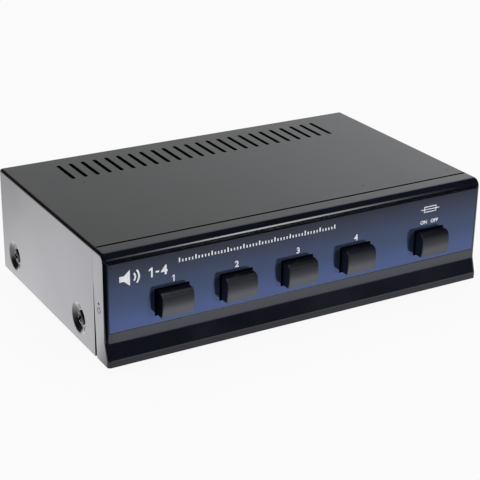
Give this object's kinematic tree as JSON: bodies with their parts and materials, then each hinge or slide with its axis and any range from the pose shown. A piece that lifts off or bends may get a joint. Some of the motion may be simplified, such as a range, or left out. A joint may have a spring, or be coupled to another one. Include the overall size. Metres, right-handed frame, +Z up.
{
  "type": "speaker selector switch",
  "caption": "Low black box with push buttons across a blue front panel, vent slots in its top and spring terminals across its back, for switching an amplifier between pairs of speakers.",
  "frame": {"origin": "middle of the footprint, on the surface that the feet stand on", "axes": "+X to the right seen from the front, +Y from the front panel to the back, +Z up"},
  "size_m": [0.2, 0.1341, 0.0547],
  "materials": {
    "cover_steel": "gloss black paint",
    "chassis_steel": "satin black paint",
    "bezel_plastic": "gloss",
    "label_print": "gloss print, charcoal to blue",
    "button_plastic": "satin",
    "board_laminate": "satin solder resist",
    "black_screw": "black oxide",
    "zinc_steel": "bright zinc",
    "resistor_ceramic": "matte ceramic",
    "contact_metal": "tinned",
    "spring_steel": "bright",
    "foot_rubber": "matte",
    "switch_plastic": "matte",
    "plunger_nylon": "satin",
    "terminal_plastic": "satin",
    "lever_red": "gloss",
    "lever_black": "gloss"
  },
  "bodies": {
    "case": {"top_cover": "cover_steel", "chassis_pan": "chassis_steel", "front_bezel": "bezel_plastic", "front_label": "label_print", "main_board": "board_laminate", "cover_screws": "black_screw", "bezel_screws": "zinc_steel", "board_screws": "zinc_steel", "terminal_screws": "zinc_steel", "board_standoffs": "zinc_steel", "protection_resistors": "resistor_ceramic", "switch_pins": "contact_metal", "latch_pins": "spring_steel", "terminal_contacts": "contact_metal", "rubber_feet": "foot_rubber", "button_1_switch_housing": "switch_plastic", "button_1_return_spring": "spring_steel", "button_2_switch_housing": "switch_plastic", "button_2_return_spring": "spring_steel", "button_3_switch_housing": "switch_plastic", "button_3_return_spring": "spring_steel", "button_4_switch_housing": "switch_plastic", "button_4_return_spring": "spring_steel", "protection_button_switch_housing": "switch_plastic", "protection_button_return_spring": "spring_steel", "terminal_block_1": "terminal_plastic", "terminal_block_2": "terminal_plastic", "terminal_block_3": "terminal_plastic", "terminal_block_4": "terminal_plastic", "terminal_block_5": "terminal_plastic"},
    "speaker_button_1_body": {"button_1": "button_plastic", "button_1_plunger": "plunger_nylon"},
    "speaker_button_2_body": {"button_2": "button_plastic", "button_2_plunger": "plunger_nylon"},
    "speaker_button_3_body": {"button_3": "button_plastic", "button_3_plunger": "plunger_nylon"},
    "speaker_button_4_body": {"button_4": "button_plastic", "button_4_plunger": "plunger_nylon"},
    "protection_button_body": {"protection_button": "button_plastic", "protection_button_plunger": "plunger_nylon"},
    "terminal_block_1_lever_1_body": {"terminal_block_1_lever_1": "lever_red"},
    "terminal_block_1_lever_2_body": {"terminal_block_1_lever_2": "lever_black"},
    "terminal_block_1_lever_3_body": {"terminal_block_1_lever_3": "lever_red"},
    "terminal_block_1_lever_4_body": {"terminal_block_1_lever_4": "lever_black"},
    "terminal_block_2_lever_1_body": {"terminal_block_2_lever_1": "lever_red"},
    "terminal_block_2_lever_2_body": {"terminal_block_2_lever_2": "lever_black"},
    "terminal_block_2_lever_3_body": {"terminal_block_2_lever_3": "lever_red"},
    "terminal_block_2_lever_4_body": {"terminal_block_2_lever_4": "lever_black"},
    "terminal_block_3_lever_1_body": {"terminal_block_3_lever_1": "lever_red"},
    "terminal_block_3_lever_2_body": {"terminal_block_3_lever_2": "lever_black"},
    "terminal_block_3_lever_3_body": {"terminal_block_3_lever_3": "lever_red"},
    "terminal_block_3_lever_4_body": {"terminal_block_3_lever_4": "lever_black"},
    "terminal_block_4_lever_1_body": {"terminal_block_4_lever_1": "lever_red"},
    "terminal_block_4_lever_2_body": {"terminal_block_4_lever_2": "lever_black"},
    "terminal_block_4_lever_3_body": {"terminal_block_4_lever_3": "lever_red"},
    "terminal_block_4_lever_4_body": {"terminal_block_4_lever_4": "lever_black"},
    "terminal_block_5_lever_1_body": {"terminal_block_5_lever_1": "lever_red"},
    "terminal_block_5_lever_2_body": {"terminal_block_5_lever_2": "lever_black"},
    "terminal_block_5_lever_3_body": {"terminal_block_5_lever_3": "lever_red"},
    "terminal_block_5_lever_4_body": {"terminal_block_5_lever_4": "lever_black"}
  },
  "joints": [
    {"name": "button_1_press", "type": "slide", "parent": "case", "child": "speaker_button_1_body", "axis": [0, 1, 0], "range_m": [0, 0.004], "stiffness_N_per_m": 250, "springref_m": -0.003, "deforming": ["button_1_return_spring"]},
    {"name": "button_2_press", "type": "slide", "parent": "case", "child": "speaker_button_2_body", "axis": [0, 1, 0], "range_m": [0, 0.004], "stiffness_N_per_m": 250, "springref_m": -0.003, "deforming": ["button_2_return_spring"]},
    {"name": "button_3_press", "type": "slide", "parent": "case", "child": "speaker_button_3_body", "axis": [0, 1, 0], "range_m": [0, 0.004], "stiffness_N_per_m": 250, "springref_m": -0.003, "deforming": ["button_3_return_spring"]},
    {"name": "button_4_press", "type": "slide", "parent": "case", "child": "speaker_button_4_body", "axis": [0, 1, 0], "range_m": [0, 0.004], "stiffness_N_per_m": 250, "springref_m": -0.003, "deforming": ["button_4_return_spring"]},
    {"name": "protection_button_press", "type": "slide", "parent": "case", "child": "protection_button_body", "axis": [0, 1, 0], "range_m": [0, 0.004], "stiffness_N_per_m": 250, "springref_m": -0.003, "deforming": ["protection_button_return_spring"]},
    {"name": "terminal_block_1_lever_1_press", "type": "hinge", "parent": "case", "child": "terminal_block_1_lever_1_body", "pos_m": [-0.0896, 0.05845, 0.037], "axis": [-1, 0, 0], "range_deg": [0, 18], "stiffness_Nm_per_rad": 0.02, "springref_deg": -20.05},
    {"name": "terminal_block_1_lever_2_press", "type": "hinge", "parent": "case", "child": "terminal_block_1_lever_2_body", "pos_m": [-0.0812, 0.05845, 0.037], "axis": [-1, 0, 0], "range_deg": [0, 18], "stiffness_Nm_per_rad": 0.02, "springref_deg": -20.05},
    {"name": "terminal_block_1_lever_3_press", "type": "hinge", "parent": "case", "child": "terminal_block_1_lever_3_body", "pos_m": [-0.0728, 0.05845, 0.037], "axis": [-1, 0, 0], "range_deg": [0, 18], "stiffness_Nm_per_rad": 0.02, "springref_deg": -20.05},
    {"name": "terminal_block_1_lever_4_press", "type": "hinge", "parent": "case", "child": "terminal_block_1_lever_4_body", "pos_m": [-0.0644, 0.05845, 0.037], "axis": [-1, 0, 0], "range_deg": [0, 18], "stiffness_Nm_per_rad": 0.02, "springref_deg": -20.05},
    {"name": "terminal_block_2_lever_1_press", "type": "hinge", "parent": "case", "child": "terminal_block_2_lever_1_body", "pos_m": [-0.0511, 0.05845, 0.037], "axis": [-1, 0, 0], "range_deg": [0, 18], "stiffness_Nm_per_rad": 0.02, "springref_deg": -20.05},
    {"name": "terminal_block_2_lever_2_press", "type": "hinge", "parent": "case", "child": "terminal_block_2_lever_2_body", "pos_m": [-0.0427, 0.05845, 0.037], "axis": [-1, 0, 0], "range_deg": [0, 18], "stiffness_Nm_per_rad": 0.02, "springref_deg": -20.05},
    {"name": "terminal_block_2_lever_3_press", "type": "hinge", "parent": "case", "child": "terminal_block_2_lever_3_body", "pos_m": [-0.0343, 0.05845, 0.037], "axis": [-1, 0, 0], "range_deg": [0, 18], "stiffness_Nm_per_rad": 0.02, "springref_deg": -20.05},
    {"name": "terminal_block_2_lever_4_press", "type": "hinge", "parent": "case", "child": "terminal_block_2_lever_4_body", "pos_m": [-0.0259, 0.05845, 0.037], "axis": [-1, 0, 0], "range_deg": [0, 18], "stiffness_Nm_per_rad": 0.02, "springref_deg": -20.05},
    {"name": "terminal_block_3_lever_1_press", "type": "hinge", "parent": "case", "child": "terminal_block_3_lever_1_body", "pos_m": [-0.0126, 0.05845, 0.037], "axis": [-1, 0, 0], "range_deg": [0, 18], "stiffness_Nm_per_rad": 0.02, "springref_deg": -20.05},
    {"name": "terminal_block_3_lever_2_press", "type": "hinge", "parent": "case", "child": "terminal_block_3_lever_2_body", "pos_m": [-0.0042, 0.05845, 0.037], "axis": [-1, 0, 0], "range_deg": [0, 18], "stiffness_Nm_per_rad": 0.02, "springref_deg": -20.05},
    {"name": "terminal_block_3_lever_3_press", "type": "hinge", "parent": "case", "child": "terminal_block_3_lever_3_body", "pos_m": [0.0042, 0.05845, 0.037], "axis": [-1, 0, 0], "range_deg": [0, 18], "stiffness_Nm_per_rad": 0.02, "springref_deg": -20.05},
    {"name": "terminal_block_3_lever_4_press", "type": "hinge", "parent": "case", "child": "terminal_block_3_lever_4_body", "pos_m": [0.0126, 0.05845, 0.037], "axis": [-1, 0, 0], "range_deg": [0, 18], "stiffness_Nm_per_rad": 0.02, "springref_deg": -20.05},
    {"name": "terminal_block_4_lever_1_press", "type": "hinge", "parent": "case", "child": "terminal_block_4_lever_1_body", "pos_m": [0.0259, 0.05845, 0.037], "axis": [-1, 0, 0], "range_deg": [0, 18], "stiffness_Nm_per_rad": 0.02, "springref_deg": -20.05},
    {"name": "terminal_block_4_lever_2_press", "type": "hinge", "parent": "case", "child": "terminal_block_4_lever_2_body", "pos_m": [0.0343, 0.05845, 0.037], "axis": [-1, 0, 0], "range_deg": [0, 18], "stiffness_Nm_per_rad": 0.02, "springref_deg": -20.05},
    {"name": "terminal_block_4_lever_3_press", "type": "hinge", "parent": "case", "child": "terminal_block_4_lever_3_body", "pos_m": [0.0427, 0.05845, 0.037], "axis": [-1, 0, 0], "range_deg": [0, 18], "stiffness_Nm_per_rad": 0.02, "springref_deg": -20.05},
    {"name": "terminal_block_4_lever_4_press", "type": "hinge", "parent": "case", "child": "terminal_block_4_lever_4_body", "pos_m": [0.0511, 0.05845, 0.037], "axis": [-1, 0, 0], "range_deg": [0, 18], "stiffness_Nm_per_rad": 0.02, "springref_deg": -20.05},
    {"name": "terminal_block_5_lever_1_press", "type": "hinge", "parent": "case", "child": "terminal_block_5_lever_1_body", "pos_m": [0.0644, 0.05845, 0.037], "axis": [-1, 0, 0], "range_deg": [0, 18], "stiffness_Nm_per_rad": 0.02, "springref_deg": -20.05},
    {"name": "terminal_block_5_lever_2_press", "type": "hinge", "parent": "case", "child": "terminal_block_5_lever_2_body", "pos_m": [0.0728, 0.05845, 0.037], "axis": [-1, 0, 0], "range_deg": [0, 18], "stiffness_Nm_per_rad": 0.02, "springref_deg": -20.05},
    {"name": "terminal_block_5_lever_3_press", "type": "hinge", "parent": "case", "child": "terminal_block_5_lever_3_body", "pos_m": [0.0812, 0.05845, 0.037], "axis": [-1, 0, 0], "range_deg": [0, 18], "stiffness_Nm_per_rad": 0.02, "springref_deg": -20.05},
    {"name": "terminal_block_5_lever_4_press", "type": "hinge", "parent": "case", "child": "terminal_block_5_lever_4_body", "pos_m": [0.0896, 0.05845, 0.037], "axis": [-1, 0, 0], "range_deg": [0, 18], "stiffness_Nm_per_rad": 0.02, "springref_deg": -20.05}
  ]
}
